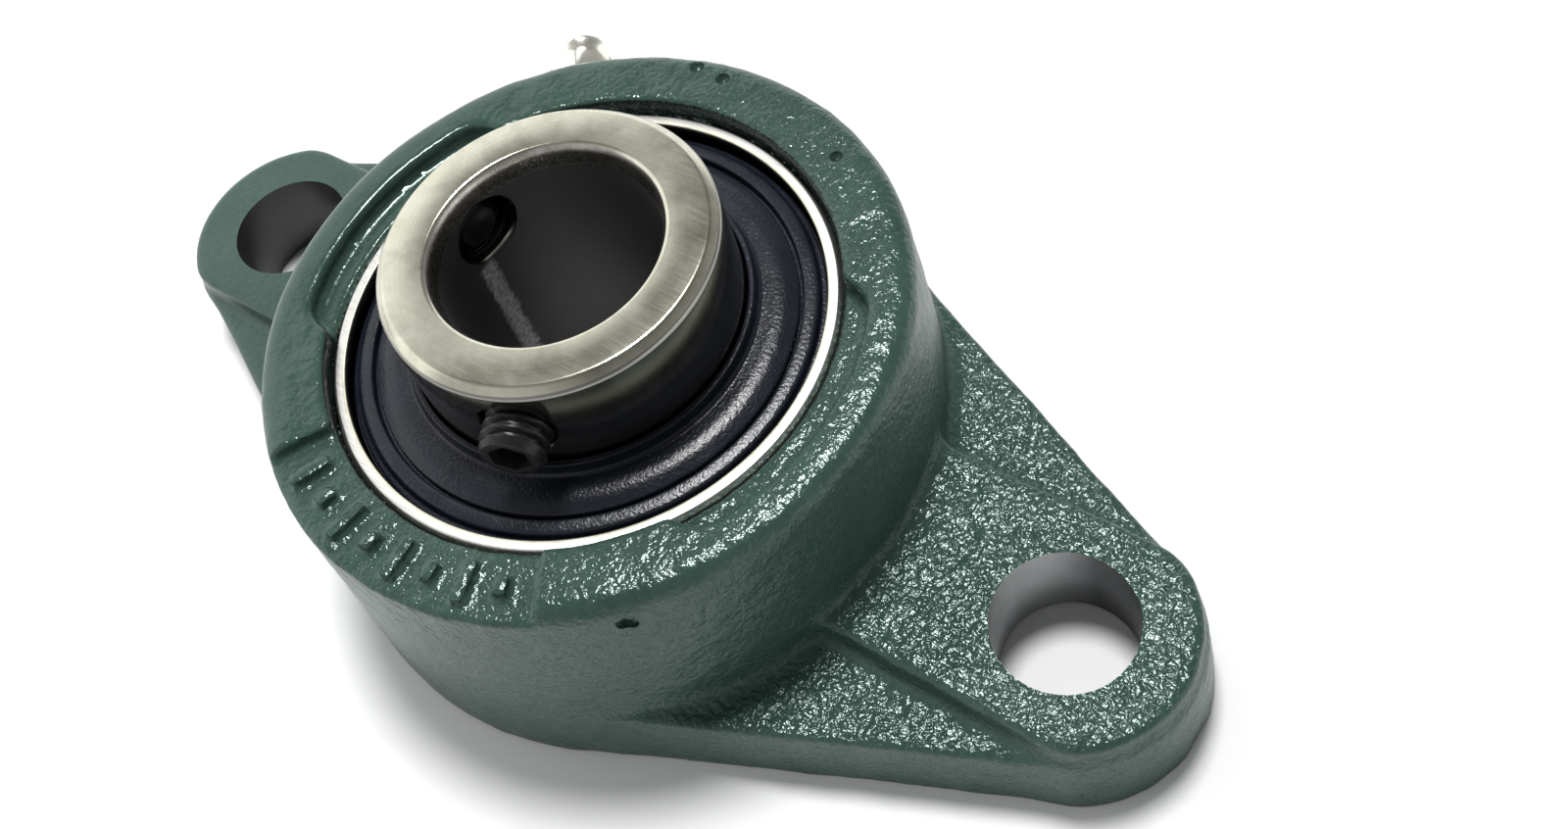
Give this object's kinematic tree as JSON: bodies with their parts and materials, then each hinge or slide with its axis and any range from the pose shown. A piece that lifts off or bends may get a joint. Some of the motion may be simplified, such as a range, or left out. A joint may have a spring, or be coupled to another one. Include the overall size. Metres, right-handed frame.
{
  "type": "flange mount bearing",
  "caption": "Rhombic two-bolt cast flange bearing unit with a self-aligning ball bearing insert, wide inner ring, set screws, seals and grease nipple.",
  "frame": {"origin": "where the shaft axis meets the flange's mounting face, which is the middle of the part's underside", "axes": "+Z along the shaft axis, away from the surface the flange is bolted to; X along the line of the two bolt holes; Y across it; the grease nipple is on the -X +Y side"},
  "size_m": [0.1126, 0.0596, 0.0333],
  "materials": {
    "green_enamel": "glossy dark green enamel over a rough sand casting",
    "ground_steel": "fine ground bearing steel",
    "ball_steel": "polished bearing balls",
    "pressed_steel": "plain pressed steel",
    "blued_steel": "blue-black coated pressed steel, semi-gloss",
    "black_rubber": "moulded nitrile rubber",
    "black_oxide": "black oxide alloy steel",
    "zinc_plate": "pale yellow zinc plate"
  },
  "bodies": {
    "housing": {"housing": "green_enamel", "nipple_body": "zinc_plate", "nipple_spring": "pressed_steel"},
    "outer_ring": {"outer_ring": "ground_steel", "front_seal_plate": "blued_steel", "front_seal_lip": "black_rubber", "rear_seal_plate": "blued_steel", "rear_seal_lip": "black_rubber"},
    "inner_ring": {"inner_ring": "ground_steel", "front_flinger": "blued_steel", "rear_flinger": "blued_steel"},
    "cage": {"cage_front": "pressed_steel", "cage_rear": "pressed_steel", "cage_rivet_1": "pressed_steel", "cage_rivet_2": "pressed_steel", "cage_rivet_3": "pressed_steel", "cage_rivet_4": "pressed_steel", "cage_rivet_5": "pressed_steel", "cage_rivet_6": "pressed_steel", "cage_rivet_7": "pressed_steel", "cage_rivet_8": "pressed_steel"},
    "ball_1": {"ball_1": "ball_steel"},
    "ball_2": {"ball_2": "ball_steel"},
    "ball_3": {"ball_3": "ball_steel"},
    "ball_4": {"ball_4": "ball_steel"},
    "ball_5": {"ball_5": "ball_steel"},
    "ball_6": {"ball_6": "ball_steel"},
    "ball_7": {"ball_7": "ball_steel"},
    "ball_8": {"ball_8": "ball_steel"},
    "set_screw_a": {"set_screw_a": "black_oxide"},
    "set_screw_b": {"set_screw_b": "black_oxide"},
    "nipple_ball": {"nipple_ball": "ball_steel"}
  },
  "joints": [
    {"name": "insert_tilt", "type": "hinge", "parent": "housing", "child": "outer_ring", "pos_m": [0, 0, 0.015], "axis": [0, 1, 0], "range_deg": [-2, 2]},
    {"name": "shaft_spin", "type": "hinge", "parent": "outer_ring", "child": "inner_ring", "pos_m": [0, 0, 0.015], "axis": [0, 0, 1], "continuous": true},
    {"name": "cage_spin", "type": "hinge", "parent": "outer_ring", "child": "cage", "pos_m": [0, 0, 0.015], "axis": [0, 0, 1], "continuous": true},
    {"name": "ball_1_spin", "type": "hinge", "parent": "cage", "child": "ball_1", "pos_m": [0.01675, 0, 0.015], "axis": [0, 0, 1], "continuous": true},
    {"name": "ball_2_spin", "type": "hinge", "parent": "cage", "child": "ball_2", "pos_m": [0.01184, 0.01184, 0.015], "axis": [0, 0, 1], "continuous": true},
    {"name": "ball_3_spin", "type": "hinge", "parent": "cage", "child": "ball_3", "pos_m": [0, 0.01675, 0.015], "axis": [0, 0, 1], "continuous": true},
    {"name": "ball_4_spin", "type": "hinge", "parent": "cage", "child": "ball_4", "pos_m": [-0.01184, 0.01184, 0.015], "axis": [0, 0, 1], "continuous": true},
    {"name": "ball_5_spin", "type": "hinge", "parent": "cage", "child": "ball_5", "pos_m": [-0.01675, 0, 0.015], "axis": [0, 0, 1], "continuous": true},
    {"name": "ball_6_spin", "type": "hinge", "parent": "cage", "child": "ball_6", "pos_m": [-0.01184, -0.01184, 0.015], "axis": [0, 0, 1], "continuous": true},
    {"name": "ball_7_spin", "type": "hinge", "parent": "cage", "child": "ball_7", "pos_m": [0, -0.01675, 0.015], "axis": [0, 0, 1], "continuous": true},
    {"name": "ball_8_spin", "type": "hinge", "parent": "cage", "child": "ball_8", "pos_m": [0.01184, -0.01184, 0.015], "axis": [0, 0, 1], "continuous": true},
    {"name": "set_screw_a_travel", "type": "slide", "parent": "inner_ring", "child": "set_screw_a", "axis": [-0.4147, 0.91, 0], "range_m": [-0.001, 0.0024]},
    {"name": "set_screw_b_travel", "type": "slide", "parent": "inner_ring", "child": "set_screw_b", "axis": [0.9954, -0.0958, 0], "range_m": [-0.002, 0.0006]},
    {"name": "nipple_ball_travel", "type": "slide", "parent": "housing", "child": "nipple_ball", "axis": [0.6428, -0.766, 0], "range_m": [0, 0.0006], "stiffness_N_per_m": 200, "springref_m": -0.0005}
  ],
  "couplings": [
    {"joint": "cage_spin", "follows": "shaft_spin", "ratio": 0.38152},
    {"joint": "ball_1_spin", "follows": "shaft_spin", "ratio": -1.9917},
    {"joint": "ball_2_spin", "follows": "shaft_spin", "ratio": -1.9917},
    {"joint": "ball_3_spin", "follows": "shaft_spin", "ratio": -1.9917},
    {"joint": "ball_4_spin", "follows": "shaft_spin", "ratio": -1.9917},
    {"joint": "ball_5_spin", "follows": "shaft_spin", "ratio": -1.9917},
    {"joint": "ball_6_spin", "follows": "shaft_spin", "ratio": -1.9917},
    {"joint": "ball_7_spin", "follows": "shaft_spin", "ratio": -1.9917},
    {"joint": "ball_8_spin", "follows": "shaft_spin", "ratio": -1.9917}
  ]
}
